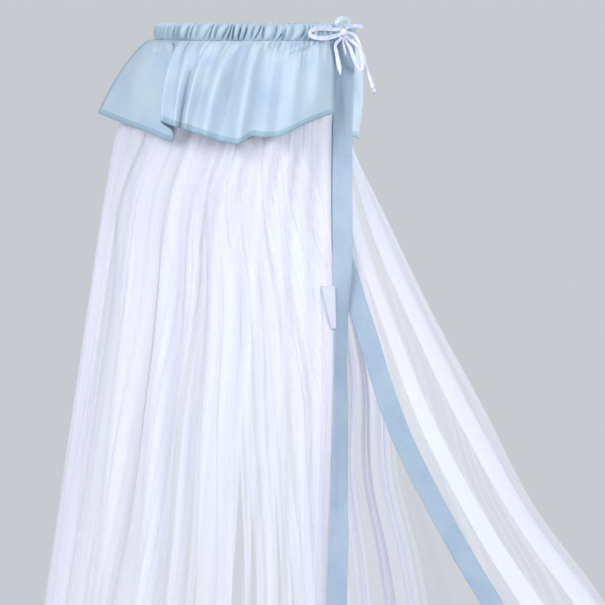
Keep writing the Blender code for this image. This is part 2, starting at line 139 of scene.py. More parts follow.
BACK_RIBS = (
    # ring_deg, hem_x, hem_y, hem_z, belly, spring
    (68.0, 0.1590, -0.086, -0.1860, 0.006, 0.80),
    (74.0, 0.1700, -0.067, -0.1890, 0.010, 0.80),
    (80.0, 0.1760, -0.040, -0.1930, 0.012, 0.80),
    (87.0, 0.1775, -0.008, -0.1960, 0.012, 0.80),
    (94.0, 0.1770, 0.022, -0.1930, 0.008, 0.80),
    (103.0, 0.1760, 0.054, -0.1860, 0.008, 0.80),
    (113.0, 0.1780, 0.088, -0.1790, 0.008, 0.80),
    (124.0, 0.1620, 0.124, -0.1870, 0.006, 0.80),
    (135.0, 0.1590, 0.168, -0.1770, 0.012, 0.75),
    (147.0, 0.1250, 0.186, -0.1830, 0.008, 0.72),
    (158.0, 0.0950, 0.223, -0.1740, 0.014, 0.70),
    (170.0, 0.0430, 0.219, -0.1800, 0.008, 0.70),
    (181.0, -0.0010, 0.243, -0.1720, 0.014, 0.70),
    (193.0, -0.0500, 0.226, -0.1780, 0.008, 0.70),
    (204.0, -0.0990, 0.238, -0.1700, 0.014, 0.70),
    (216.0, -0.1360, 0.206, -0.1760, 0.008, 0.70),
    (228.0, -0.1850, 0.189, -0.1680, 0.014, 0.68),
    (240.0, -0.2080, 0.139, -0.1740, 0.008, 0.85),
    (251.0, -0.2460, 0.099, -0.1650, 0.008, 0.90),
    (262.0, -0.2560, 0.040, -0.1620, 0.006, 0.92),
)
LEFT_BAND_TURN = (
    # depth, turn_deg
    (0.03, 0.0),
    (0.30, 2.0),
    (0.38, 12.0),
    (0.46, 42.0),
    (0.54, 50.0),
    (0.64, 41.0),
    (0.76, 30.0),
    (0.86, 9.0),
    (1.62, 4.0),
)
RIGHT_BAND_TURN = (
    # depth, turn_deg
    (0.03, 70.0),
    (0.10, 62.0),
    (0.20, 48.0),
    (0.30, 28.0),
    (0.40, 16.0),
    (0.54, 12.0),
    (1.62, 12.0),
)
TIE_ROUTES = {
    # leaves_knot_deg, returns_deg; then each point's ring_deg, radius, z
    "tie_loop_left": (
        (158.0, 199.0),
        (49.5, 0.1786, -0.0096),
        (44.3, 0.1789, -0.0080),
        (38.6, 0.1804, -0.0074),
        (33.4, 0.1815, -0.0090),
        (30.9, 0.1820, -0.0149),
        (33.2, 0.1820, -0.0210),
        (38.4, 0.1812, -0.0231),
        (43.9, 0.1803, -0.0224),
        (48.8, 0.1805, -0.0200),
    ),
    "tie_loop_right": (
        (-38.0, -68.0),
        (60.1, 0.1995, -0.0374),
        (60.3, 0.2061, -0.0521),
        (59.8, 0.2090, -0.0659),
        (58.5, 0.2090, -0.0755),
        (56.8, 0.2064, -0.0700),
        (55.6, 0.2018, -0.0559),
        (55.2, 0.1955, -0.0400),
    ),
    "tie_loop_back": (
        (124.0, 72.0),
        (51.4, 0.1785, 0.0000),
        (52.2, 0.1785, 0.0052),
        (55.2, 0.1795, 0.0082),
        (59.0, 0.1810, 0.0072),
        (61.0, 0.1815, 0.0028),
    ),
    "tie_end_short": (
        (-128.0, None),
        (48.4, 0.1825, -0.0345),
        (46.8, 0.1898, -0.0489),
        (46.6, 0.1951, -0.0667),
        (46.5, 0.1990, -0.0828),
    ),
    "tie_end_thin": (
        (-98.0, None),
        (54.0, 0.1861, -0.0380),
        (53.8, 0.1908, -0.0518),
    ),
    "tie_end_long": (
        (-6.0, None),
        (63.5, 0.1874, -0.0190),
        (63.7, 0.1959, -0.0320),
        (63.1, 0.2053, -0.0540),
        (63.0, 0.2136, -0.0793),
        (63.4, 0.2227, -0.1056),
    ),
    "tie_stub": (
        (34.0, None),
        (64.5, 0.1800, -0.0050),
        (68.0, 0.1830, -0.0045),
        (71.5, 0.1870, -0.0050),
        (74.5, 0.1905, -0.0060),
    ),
}

# ---- Looks-only sizes ----
# The net's cut width in metres, a pleat's usual share of it, the columns and turns that model one
# pleat, the net's rows, and how opaque a single layer looks.
NET_CUT_WIDTH = 6.3
PLEAT_WIDTH = 0.0230
PLEAT_COLUMNS = 26
PLEAT_TURNS = 2
NET_ROWS = 52
NET_OPACITY = 0.24
# How wide the net's pleats are, how much cloth lies folded in them, and how dense the cloth looks
# between the folds and in them, along the net's width.
PLEAT_PROFILE = (
    # place, width, fullness, sheer, dense
    (0.000, 0.45, 1.00, 1.00, 1.20),
    (0.060, 0.60, 1.15, 0.95, 1.25),
    (0.120, 0.50, 1.30, 0.90, 1.30),
    (0.135, 0.30, 1.90, 0.90, 1.40),
    (0.190, 0.34, 1.90, 0.90, 1.40),
    (0.205, 0.50, 1.90, 1.00, 1.20),
    (0.220, 0.80, 2.00, 1.20, 1.20),
    (0.262, 0.80, 1.90, 1.20, 1.20),
    (0.285, 0.45, 1.60, 1.10, 1.20),
    (0.298, 0.45, 0.60, 0.80, 1.00),
    (0.306, 0.60, 0.25, 0.60, 0.80),
    (0.326, 0.60, 0.25, 0.60, 0.80),
    (0.338, 0.50, 1.30, 1.00, 1.20),
    (0.430, 0.60, 0.95, 1.00, 1.10),
    (0.495, 0.70, 0.80, 0.80, 1.00),
    (0.520, 1.00, 0.40, 0.60, 0.80),
    (0.600, 1.00, 0.60, 0.55, 1.00),
    (0.680, 0.80, 0.70, 0.60, 1.10),
    (0.715, 0.40, 0.90, 1.90, 2.20),
    (0.785, 0.36, 0.90, 1.90, 2.20),
    (0.800, 0.60, 0.50, 0.70, 0.90),
    (0.905, 0.90, 0.50, 0.70, 0.90),
)
# How far the pleats' places have moved along the width at each of these depths: the front ones fan
# out from under the frill, to the left, and to the right behind the left edging.
PLEAT_FLOW_DEPTHS = (0.20, 0.40, 0.60, 0.93, 1.62)
PLEAT_FLOW = (
    # place, move at each depth
    (0.00, 0.0, 0.000, 0.000, 0.000, 0.000),
    (0.06, 0.0, -0.060, -0.060, -0.060, -0.060),
    (0.08, 0.0, -0.067, -0.080, -0.080, -0.080),
    (0.10, 0.0, -0.065, -0.098, -0.100, -0.100),
    (0.12, 0.0, -0.056, -0.096, -0.118, -0.120),
    (0.14, 0.0, -0.042, -0.070, -0.108, -0.125),
    (0.16, 0.0, -0.033, -0.048, -0.073, -0.085),
    (0.18, 0.0, -0.028, -0.030, -0.035, -0.040),
    (0.20, 0.0, -0.025, -0.020, -0.012, -0.010),
    (0.22, 0.0, -0.020, -0.004, 0.012, 0.016),
    (0.24, 0.0, -0.015, 0.004, 0.020, 0.024),
    (0.26, 0.0, -0.004, 0.006, 0.018, 0.022),
    (0.30, 0.0, 0.003, 0.008, 0.020, 0.024),
    (0.34, 0.0, 0.002, 0.006, 0.020, 0.024),
    (0.40, 0.0, 0.000, 0.000, 0.012, 0.014),
    (0.48, 0.0, 0.000, 0.000, 0.000, 0.000),
)
# Gaps that open lower down between two bundles of pleats: where, and how wide they get.
PLEAT_GAPS = (
    (0.141, 0.014),
    (0.152, 0.012),
    (0.164, 0.015),
    (0.173, 0.024),
    (0.186, 0.019),
    (0.221, 0.016),
)
GAP_EDGE = 0.0015
GAP_REACH = 0.024
GAP_OPENS_DEPTH = (0.55, 1.0)
# The main folds lie a little shallower here than in the solids, because the pleats take up cloth.
FOLD_EASE = 0.78
# The swept right panel's own broad pleats: where each begins, how far it swings and how dense it
# looks. They swing further in the gathers and lean less than the others.
PANEL_PLEATS = (
    # place, swing, sheer, dense
    (0.905, 0.06, 1.70, 1.70),
    (0.947, 0.50, 1.30, 3.30),
    (0.980, 0.44, 1.30, 3.30),
)
PANEL_TURNS = 1
PANEL_GATHER = 1.6
PANEL_GATHER_SHARE = 0.10
PANEL_LEAN = 0.15
# How far the pleats reach inwards at each depth.
PLEAT_REACH = (
    # depth, reach
    (0.030, 0.0024),
    (0.150, 0.0024),
    (0.500, 0.0030),
    (1.000, 0.0042),
    (1.620, 0.0050),
)
# How unevenly the pleats are drawn: width, fullness, its change down the net, lean and reach.
WIDTH_SPREAD = 0.40
FULLNESS_SPREAD = 0.28
FULLNESS_DRIFT = 0.45
LEAN_SPREAD = 0.55
LEAN_WANDER = 0.12
REACH_SPREAD = 0.25
# The cloth looks this much thinner lower down, between these depths.
THINNER_DEPTH = (0.40, 0.95)
THINNER_SHARE = 0.30


# ---- Small tools ----
def smooth_rows(rows, keys):
    """Values of the smooth curve through a table's rows, at many values of its first column."""
    table = np.array(rows, dtype=float)
    x = table[:, 0]
    values = table[:, 1:]
    last = len(x) - 1
    keys = np.clip(np.asarray(keys, dtype=float), x[0], x[-1])
    i = np.searchsorted(x[1:-1], keys, side="left")
    before = np.maximum(i - 1, 0)
    after = np.minimum(i + 2, last)
    span = (x[i + 1] - x[i])[..., None]
    t = ((keys - x[i]) / (x[i + 1] - x[i]))[..., None]
    low, high = values[i], values[i + 1]
    slope_low = (high - values[before]) / (x[i + 1] - x[before])[..., None] * span
    slope_high = (values[after] - low) / (x[after] - x[i])[..., None] * span
    return (
        low * (2 * t**3 - 3 * t**2 + 1)
        + slope_low * (t**3 - 2 * t**2 + t)
        + high * (3 * t**2 - 2 * t**3)
        + slope_high * (t**3 - t**2)
    )


def column(rows, keys, number=0):
    return smooth_rows(rows, keys)[..., number]


def smoothstep(low, high, x):
    t = np.clip((x - low) / (high - low), 0.0, 1.0)
    return t * t * (3 - 2 * t)


def wander(rng, tracks, knots, steps):
    """Smooth random tracks between -1 and 1, one a row, through evenly spaced knots."""
    table = rng.uniform(-1, 1, (knots, tracks))
    rows = np.column_stack([np.linspace(0, 1, knots), table])
    return smooth_rows(rows, np.linspace(0, 1, steps)).T


def on_ring(degrees, radius, z):
    angle = math.radians(degrees)
    return Vector((radius * math.sin(angle), -radius * math.cos(angle), z))


def ring_points(degrees, radius, z):
    angle = np.radians(degrees)
    degrees, radius, z = np.broadcast_arrays(degrees, radius, z)
    return np.stack([radius * np.sin(angle), -radius * np.cos(angle), z], axis=-1)


def uneven(share):
    share = np.asarray(share, dtype=float)
    return share + sum(shift * np.sin(2 * np.pi * waves * share) for waves, shift in UNEVEN_WAVES)


def unit(vectors):
    return vectors / np.linalg.norm(vectors, axis=-1, keepdims=True)


def run_lengths(points):
    """Distance along the first axis of a row or grid of points, from its start to each."""
    steps = np.linalg.norm(np.diff(points, axis=0), axis=-1)
    return np.concatenate([np.zeros_like(steps[:1]), np.cumsum(steps, axis=0)])


def sheet_mesh(name, points, material, uv, wrap=False):
    """A mesh through a grid of points, rows by columns, with texture coordinates in metres."""
    rows, columns = points.shape[:2]
    index = np.arange(rows * columns).reshape(rows, columns)
    if wrap:
        index = np.concatenate([index, index[:, :1]], axis=1)
    corners = (index[:-1, :-1], index[:-1, 1:], index[1:, 1:], index[1:, :-1])
    quads = np.stack(corners, axis=-1).reshape(-1, 4)
    mesh = bpy.data.meshes.new(name)
    mesh.from_pydata(points.reshape(-1, 3).tolist(), [], quads.tolist())
    layer = mesh.uv_layers.new(name="cloth")
    flat = uv.reshape(-1, 2)[quads.ravel()]
    layer.data.foreach_set("uv", flat.astype(np.float32).ravel())
    mesh.shade_smooth()
    mesh.materials.append(material)
    mesh.validate()
    item = bpy.data.objects.new(name, mesh)
    bpy.context.scene.collection.objects.link(item)
    return item


def thicken(item, thickness):
    solid = item.modifiers.new("cloth", "SOLIDIFY")
    solid.thickness = thickness
    solid.offset = 0.0
    return solid


def point_attribute(item, name, values):
    attribute = item.data.attributes.new(name, "FLOAT", "POINT")
    attribute.data.foreach_set("value", np.ascontiguousarray(values, dtype=np.float32).ravel())


def grid_normals(points):
    """Unit normals of a grid of points."""
    down = np.gradient(points, axis=0)
    across = np.gradient(points, axis=1)
    normal = np.cross(across, down)
    return normal / np.maximum(np.linalg.norm(normal, axis=-1, keepdims=True), 1e-9)


def mean_widths(points):
    """Mean distance along the rows from the first column to each."""
    across = np.linalg.norm(np.diff(points, axis=1), axis=-1).mean(axis=0)
    return np.concatenate([[0], np.cumsum(across)])


def uv_grid(u, v):
    return np.stack(np.broadcast_arrays(u, v), axis=-1)


def arc_uv(points):
    """Texture coordinates in metres: mean distance along the rows and down the columns."""
    down = np.linalg.norm(np.diff(points, axis=0), axis=-1).mean(axis=1)
    return uv_grid(mean_widths(points)[None, :], np.concatenate([[0], np.cumsum(down)])[:, None])


def fold_columns(folds, each):
    """Every column's fold, counted from 0, and how far across that fold it lies."""
    fold = np.append(np.repeat(np.arange(folds), each), folds - 1)
    return fold, np.append(np.tile(np.arange(each) / each, folds), 1.0)


# ---- Materials ----
NOISE_ROUGHNESS = 0.55
SHEEN_ROUGHNESS = 0.5
TULLE_CELLS = 620.0
TULLE_TINTS = ((0.902, 0.899, 0.972, 1.0), (0.890, 0.910, 0.974, 1.0))
TULLE_DENSEST = 0.96
HEM_EDGE = (0.0090, 0.0102)
STITCH_LINE = 0.0088
STITCH_EDGE = (0.0002, 0.0010)
WHITE = (1.0, 1.0, 1.0, 1.0)


class Nodes:
    """A material's node tree, built up by short calls."""

    def __init__(self, name):
        self.material = bpy.data.materials.new(name)
        self.material.use_nodes = True
        self.tree = self.material.node_tree
        self.tree.nodes.clear()
        self.out = self.tree.nodes.new("ShaderNodeOutputMaterial")

    def put(self, kind, inputs, output=0, **settings):
        """Adds a node, fills its inputs with numbers or other nodes' outputs, gives an output."""
        node = self.tree.nodes.new(kind)
        for key, value in settings.items():
            setattr(node, key, value)
        for slot, value in inputs.items():
            if isinstance(value, bpy.types.NodeSocket):
                self.tree.links.new(value, node.inputs[slot])
            else:
                node.inputs[slot].default_value = value
        return node.outputs[output]

    def math(self, operation, a, b=0.0):
        return self.put("ShaderNodeMath", {0: a, 1: b}, operation=operation)

    def ramp(self, value, low, high, to_low=0.0, to_high=1.0):
        inputs = {0: value, 1: low, 2: high, 3: to_low, 4: to_high}
        return self.put("ShaderNodeMapRange", inputs, interpolation_type="SMOOTHSTEP")

    def mix_colour(self, factor, a, b):
        return self.put("ShaderNodeMix", {0: factor, 6: a, 7: b}, 2, data_type="RGBA")

    def mix_shader(self, factor, a, b):
        return self.put("ShaderNodeMixShader", {0: factor, 1: a, 2: b})

    def noise(self, vector, scale, detail=3.0, stretch=None, flat=False):
        if stretch is not None:
            vector = self.put("ShaderNodeMapping", {"Vector": vector, "Scale": stretch})
        inputs = {"Vector": vector, "Scale": scale, "Detail": detail, "Roughness": NOISE_ROUGHNESS}
        return self.put("ShaderNodeTexNoise", inputs, noise_dimensions="2D" if flat else "3D")

    def weave(self, vector, pitch):
        """Plain weave: threads over and under each other, 0 in a gap and 1 on a thread's crown."""
        turn = 2 * math.pi / pitch
        u, v = [self.put("ShaderNodeSeparateXYZ", {0: vector}, axis) for axis in (0, 1)]
        along = self.math("SINE", self.math("MULTIPLY", u, turn))
        across = self.math("SINE", self.math("MULTIPLY", v, turn))
        crossing = self.math("MULTIPLY", along, across)
        return self.math("ADD", self.math("MULTIPLY", crossing, 0.5), 0.5)

    def uv(self):
        return self.put("ShaderNodeUVMap", {}, uv_map="cloth")

    def place(self):
        return self.put("ShaderNodeTexCoord", {}, "Object")

    def attribute(self, name):
        return self.put("ShaderNodeAttribute", {}, "Fac", attribute_name=name)

    def bump(self, height, strength, distance):
        inputs = {"Height": height, "Strength": strength, "Distance": distance}
        return self.put("ShaderNodeBump", inputs)

    def principled(self, colour, roughness, normal=None, sheen=0.0, specular=0.3):
        inputs = {
            "Base Color": colour,
            "Roughness": roughness,
            "Specular IOR Level": specular,
            "Sheen Weight": sheen,
            "Sheen Roughness": SHEEN_ROUGHNESS,
        }
        if normal is not None:
            inputs["Normal"] = normal
        return self.put("ShaderNodeBsdfPrincipled", inputs)

    def translucent(self, colour):
        return self.put("ShaderNodeBsdfTranslucent", {"Color": colour})

    def transparent(self):
        return self.put("ShaderNodeBsdfTransparent", {})

    def finish(self, surface):
        self.tree.links.new(surface, self.out.inputs["Surface"])
        return self.material


def rgb(red, green, blue):
    """Linear colour of a screen colour given from 0 to 255."""
    parts = [x / 255 for x in (red, green, blue)]
    return (*[x / 12.92 if x <= 0.04045 else ((x + 0.055) / 1.055) ** 2.4 for x in parts], 1.0)


def tulle_material():
    """Sheer net: fine cells of thread, denser where the cloth turns edge-on at a pleat."""
    n = Nodes("tulle")
    uv = n.uv()
    cells = n.put(
        "ShaderNodeTexVoronoi",
        {"Vector": uv, "Scale": TULLE_CELLS, "Randomness": 0.35},
        "Distance",
        voronoi_dimensions="2D",
        feature="DISTANCE_TO_EDGE",
    )
    thread = n.ramp(cells, 0.05, 0.16, 1.5, 0.66)
    streaks = n.noise(uv, 1.0, 1.0, stretch=(20.0, 1.2, 1.0), flat=True)
    streaks = n.ramp(streaks, 0.25, 0.75, 0.96, 1.04)
    alpha = n.math("MULTIPLY", n.math("MULTIPLY", n.attribute("opacity"), thread), streaks)
    alpha = n.math("MINIMUM", alpha, TULLE_DENSEST)
    patches = n.ramp(n.noise(uv, 2.2, 1.0, flat=True), 0.35, 0.65)
    tint = n.mix_colour(patches, *TULLE_TINTS)
    front = n.principled(tint, 0.85, sheen=0.1, specular=0.1)
    cloth = n.mix_shader(0.5, front, n.translucent(tint))
    return n.finish(n.mix_shader(alpha, n.transparent(), cloth))


def cotton_material(name, main, shade, pitch, hem=None, through=0.22):
    """Fine woven cotton with soft slubs, and a darker doubled hem with a row of stitches."""
    n = Nodes(name)
    uv = n.uv()
    weave = n.weave(uv, pitch)
    slubs = n.noise(uv, 1.0, 3.0, stretch=(60.0, 900.0, 1.0))
    cloud = n.noise(uv, 14.0, 3.0)
    colour = n.mix_colour(n.ramp(cloud, 0.35, 0.7), main, shade)
    colour = n.mix_colour(n.math("MULTIPLY", slubs, 0.22), colour, WHITE)
    height = n.math("ADD", n.math("MULTIPLY", weave, 0.6), n.math("MULTIPLY", slubs, 0.6))
    if hem is not None:
        edge = n.attribute("hem")
        inside = n.ramp(edge, *HEM_EDGE, 1.0, 0.0)
        colour = n.mix_colour(n.math("MULTIPLY", inside, 0.85), colour, hem)
        # The row of stitches is sunk in the bump and painted darker along it: painted shade in the
        # stitch groove.
        line = n.math("ABSOLUTE", n.math("SUBTRACT", edge, STITCH_LINE))
        seam = n.ramp(line, *STITCH_EDGE, 1.0, 0.0)
        colour = n.mix_colour(n.math("MULTIPLY", seam, 0.35), colour, shade)
        height = n.math("SUBTRACT", height, n.math("MULTIPLY", seam, 1.5))
    cloth = n.principled(colour, 0.78, n.bump(height, 0.35, 0.0006), sheen=0.25, specular=0.25)
    return n.finish(n.mix_shader(through, cloth, n.translucent(colour)))


def tie_material(name, main, shade):
    """Soft rolled tie, with a fine fuzz and faint patches."""
    n = Nodes(name)
    place = n.place()
    fuzz = n.noise(place, 900.0, 3.0)
    soft = n.noise(place, 90.0, 2.0)
    colour = n.mix_colour(n.ramp(soft, 0.3, 0.7), main, shade)
    height = n.math("ADD", fuzz, n.math("MULTIPLY", soft, 0.5))
    normal = n.bump(height, 0.4, 0.0005)
    return n.finish(n.principled(colour, 0.8, normal, sheen=0.3, specular=0.25))


def label_material():
    """Plain white woven tape."""
    n = Nodes("label_tape")
    uv = n.uv()
    weave = n.weave(uv, 0.0007)
    colour = n.mix_colour(n.noise(uv, 120.0), rgb(184, 189, 203), rgb(169, 175, 191))
    normal = n.bump(weave, 0.3, 0.0003)
    return n.finish(n.principled(colour, 0.55, normal, sheen=0.1, specular=0.4))


TULLE = tulle_material()
FRILL = cotton_material(
    "frill_cotton", rgb(176, 197, 214), rgb(161, 188, 211), 0.0008, rgb(147, 178, 195)
)
# The back frill is the same cotton painted much paler than the front frill: painted light, standing
# in for the light that shines through it from behind.
FRILL_PAINTED_BACKLIT = cotton_material(
    "frill_cotton_painted_backlit", rgb(201, 227, 243), rgb(191, 220, 240), 0.0008, rgb(167, 199, 219), 0.12
)
CASING = cotton_material("heading_cotton", rgb(167, 193, 209), rgb(150, 182, 203), 0.0008)
BAND = cotton_material("band_cotton", rgb(138, 163, 186), rgb(126, 154, 181), 0.0007, None, 0.12)
TIE = tie_material("tie_cloth", rgb(206, 207, 226), rgb(188, 191, 216))
# A darker, greener copy of the tie's cloth for the loop that lies behind the heading: painted
# shade.
TIE_PAINTED_SHADE = tie_material("tie_cloth_painted_shade", rgb(178, 196, 206), rgb(160, 182, 194))
LABEL = label_material()


# ---- Net ----
def net_outline(place, depth):
    """Points on the net's outer reach, and the directions inwards."""
    place, depth = np.broadcast_arrays(np.asarray(place, float), np.asarray(depth, float))
    reach = smooth_rows(NET_REACH, depth)
    left, right, front, back, left_edge, right_edge, spread = np.moveaxis(reach, -1, 0)
    first = np.arcsin(np.clip(left_edge / right, -1, 1))
    final = np.arcsin(np.clip(right_edge / right, -1, 1)) - 2 * np.pi
    share = uneven(place)
    low_share = column(NET_FAN, share)
    angle = first + (final - first) * (share + (low_share - share) * spread)
    across = np.where(np.sin(angle) > 0, right, left)
    along = np.where(np.cos(angle) > 0, front, back)
    point = np.stack([across * np.sin(angle), -along * np.cos(angle), -depth], axis=-1)
    tangent = unit(np.stack([across * np.cos(angle), along * np.sin(angle)], axis=-1))
    inwards = np.stack([-tangent[..., 1], tangent[..., 0], np.zeros_like(depth)], axis=-1)
    return point, inwards


def net_depths(places, rows):
    """Depths of evenly spaced rows down the cut length, rows by places."""
    steps = np.linspace(NET_TOP, 1.72, 340)
    points = net_outline(np.asarray(places)[None, :], steps[:, None])[0]
    fallen = run_lengths(points)
    targets = NET_LENGTH * np.linspace(0, 1, rows + 1)
    return np.stack([np.interp(targets, fallen[:, i], steps) for i in range(len(places))], axis=1)


def main_fold(place, depth):
    fold = 0.5 - 0.5 * np.cos(2 * np.pi * NET_FOLDS * place)
    fullness = column(NET_FAN, uneven(place), 1)
    return column(NET_FOLD_DEPTH, depth) * fold * fullness


def pleat_edges(rng):
    """Places where one pleat ends and the next begins, from the left edge to the right."""
    end = PANEL_PLEATS[0][0]
    edges = [0.0]
    while edges[-1] < end:
        width = max(float(column(PLEAT_PROFILE, edges[-1])), 0.2)
        edges.append(edges[-1] + PLEAT_WIDTH * width * math.exp(rng.normal(0, WIDTH_SPREAD)))
    edges = np.array(edges) * end / edges[-1]
    return np.concatenate([edges, [row[0] for row in PANEL_PLEATS[1:]], [1.0]])


def pleat_wave(f, turns):
    """How a pleat's cloth runs back and forth over its place's middle, and how far it tucks in."""
    window = smoothstep(0.10, 0.36, f) * (1 - smoothstep(0.64, 0.90, f))
    turn = 2 * np.pi * turns * f
    return window, window * np.sin(turn), window * (0.5 - 0.5 * np.cos(turn))


def swing_for(layers):
    """How far a pleat has to swing to each side, in its own widths, to lie in so many layers."""
    swings = np.linspace(0, 2.5, 126)
    f = np.linspace(0, 1, 481)
    sideways = pleat_wave(f, PLEAT_TURNS)[1]
    steps = np.diff(f[None, :] + swings[:, None] * sideways[None, :], axis=1)
    return np.interp(layers, np.abs(steps).sum(axis=1), swings)


def fanned(place, depth, gaps=()):
    """Places moved along the width by the fan of the pleats at each depth, and by its gaps."""
    table = np.array(PLEAT_FLOW)
    moved = place + 0 * depth
    for i in range(len(PLEAT_FLOW_DEPTHS)):
        share = np.interp(depth, PLEAT_FLOW_DEPTHS, np.eye(len(PLEAT_FLOW_DEPTHS))[i])
        moved = moved + share * np.interp(place, table[:, 0], table[:, i + 1])
    for middle, width in gaps:
        jump = smoothstep(middle - GAP_EDGE, middle + GAP_EDGE, place)
        jump = jump - np.clip((place - middle) / GAP_REACH + 0.5, 0.0, 1.0)
        moved = moved + width * smoothstep(*GAP_OPENS_DEPTH, depth) * jump
    return moved


def make_net():
    """One width of tulle with its main folds; its pleats lie deep in the gathers and open below."""
    rng = np.random.default_rng(11)
    edges = pleat_edges(rng)
    pleats = len(edges) - 1
    panel = np.arange(pleats) >= pleats - len(PANEL_PLEATS)
    span = np.diff(edges)
    centres = (edges[1:] + edges[:-1]) / 2
    fullness, sheer, dense = [column(PLEAT_PROFILE, centres, i) for i in (1, 2, 3)]
    sheer[panel] = [row[2] for row in PANEL_PLEATS]
    dense[panel] = [row[3] for row in PANEL_PLEATS]
    share = np.linspace(0, 1, NET_ROWS + 1)
    coarse = np.linspace(0, 1, 121)
    coarse_depths = net_depths(coarse, NET_ROWS)
    around = net_outline(coarse[None, :], coarse_depths)[0]
    girth = np.linalg.norm(np.diff(around, axis=1), axis=-1).sum(axis=1)
    layers = NET_CUT_WIDTH / girth
    full = fullness * np.exp(rng.normal(0, FULLNESS_SPREAD, pleats))
    full = full[:, None] * (1 + rng.normal(0, FULLNESS_DRIFT, pleats)[:, None] * (share - 0.4))
    centre_depths = np.stack([np.interp(centres, coarse, row) for row in coarse_depths])
    stretch = fanned(edges[None, 1:], centre_depths) - fanned(edges[None, :-1], centre_depths)
    stretch = np.clip(stretch / span, 0.3, 3.0).T
    folded = layers[None, :] * np.clip(full, 0.15, 4.0) / stretch
    swing = stretch * swing_for(np.clip(folded, 1.0, 12.0))
    gathered = 1 + PANEL_GATHER * np.exp(-share / PANEL_GATHER_SHARE)
    swing[panel] = np.array([row[1] for row in PANEL_PLEATS])[:, None] * gathered
    lean = rng.normal(0, LEAN_SPREAD, pleats + 1)[:, None] * share**1.4
    wandering = wander(rng, pleats + 1, 4, NET_ROWS + 1)
    lean = lean + LEAN_WANDER * wandering * smoothstep(0.0, 0.35, share)
    lean[-len(PANEL_PLEATS) - 1:] *= PANEL_LEAN
    mean_span = np.concatenate([[0], (span[1:] + span[:-1]) / 2, [0]])
    drift = lean * mean_span[:, None]
    reach = np.exp(rng.normal(0, REACH_SPREAD, pleats))
    pleat, f = fold_columns(pleats, PLEAT_COLUMNS)
    base = (edges[pleat] + span[pleat] * f)[None, :]
    depth = np.stack([np.interp(base[0], coarse, row) for row in coarse_depths])
    gaps = [
        (float(edges[np.argmin(np.abs(edges - middle))]), width) for middle, width in PLEAT_GAPS
    ]
    blend = smoothstep(0.0, 1.0, f)
    turns = np.where(panel[pleat], PANEL_TURNS, PLEAT_TURNS)
    window, sideways, inwards_share = pleat_wave(f, turns)
    shift = drift[pleat].T * (1 - blend) + drift[pleat + 1].T * blend
    place = fanned(base, depth, gaps)
    # where a gap opens the cloth is drawn out, so it looks thinner
    thin = (fanned(base + 0.0005, depth, gaps) - fanned(base - 0.0005, depth, gaps)) / 0.001
    thin = np.clip(thin / stretch[pleat].T, 1.0, 5.0)
    place = np.clip(place + span[pleat] * swing[pleat].T * sideways + shift, 0.0, 1.0)
    point, inwards = net_outline(place, depth)
    tuck = column(PLEAT_REACH, depth) * reach[pleat] * inwards_share
    points = point + inwards * (FOLD_EASE * main_fold(place, depth) + tuck)[..., None]
    across = np.abs((grid_normals(points) * inwards).sum(axis=-1))
    facing = np.clip(1 / np.maximum(across, 0.25), 1.0, 4.0)
    neighbour = np.where(f < 0.5, np.maximum(pleat - 1, 0), np.minimum(pleat + 1, pleats - 1))
    flat = sheer[pleat] + (sheer[neighbour] - sheer[pleat]) * 0.5 * np.abs(2 * f - 1) ** 2
    density = NET_OPACITY * (flat + (dense[pleat] - flat) * window) / thin
    density = density * (1 - THINNER_SHARE * smoothstep(*THINNER_DEPTH, depth))
    opacity = 1 - (1 - np.clip(density, 0.05, 0.9)) ** facing
    uv = uv_grid(mean_widths(points)[None, :], (share * NET_LENGTH)[:, None])
    item = sheet_mesh("net_tulle", points, TULLE, uv)
    point_attribute(item, "opacity", opacity)
    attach(item, ROOT)
    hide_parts("net")


make_net()


# ---- Heading ----
HEADING_PUCKERS = 96
PUCKER_COLUMNS = 8
HEADING_TURNS = 26
HEADING_STRIP = 0.105
HEADING_FULLNESS = 2.2
# How unevenly the puckers are drawn: their widths, their lean's mean and spread, and their depth.
PUCKER_SPREAD = 0.28
PUCKER_LEAN_DEG = (3.0, 1.7)
PUCKER_DEPTH_SPREAD = 0.30
PUCKER_WOBBLE_DEG = 0.55
PUCKER_HEIGHT = 0.0088
PUCKER_MIDDLE = 0.0042
PUCKER_SINK = 0.0052
HEADING_PROFILE = (
    # turn, radius, depth, swell, sink, lean
    (0.00, 0.1470, 0.0275, 0.00, 0.0, 0.00),
    (0.10, 0.1560, 0.0277, 0.00, 0.0, 0.00),
    (0.20, 0.1645, 0.0277, 0.10, 0.0, 0.00),
    (0.25, 0.1660, 0.0272, 0.12, 0.0, 0.05),
    (0.32, 0.1669, 0.0236, 0.60, 0.0, 0.25),
    (0.41, 0.1674, 0.0178, 1.00, 0.0, 0.50),
    (0.51, 0.1672, 0.0110, 1.00, 0.2, 0.80),
    (0.60, 0.1662, 0.0054, 0.95, 0.5, 0.95),
    (0.68, 0.1636, 0.0016, 0.65, 0.9, 1.05),
    (0.76, 0.1590, 0.0003, 0.30, 1.0, 1.05),
    (0.84, 0.1535, 0.0010, -0.20, 0.9, 1.00),
    (0.90, 0.1490, 0.0048, -0.60, 0.4, 0.90),
    (0.95, 0.1470, 0.0130, -0.70, 0.0, 0.60),
    (1.00, 0.1468, 0.0230, -0.30, 0.0, 0.20),
)


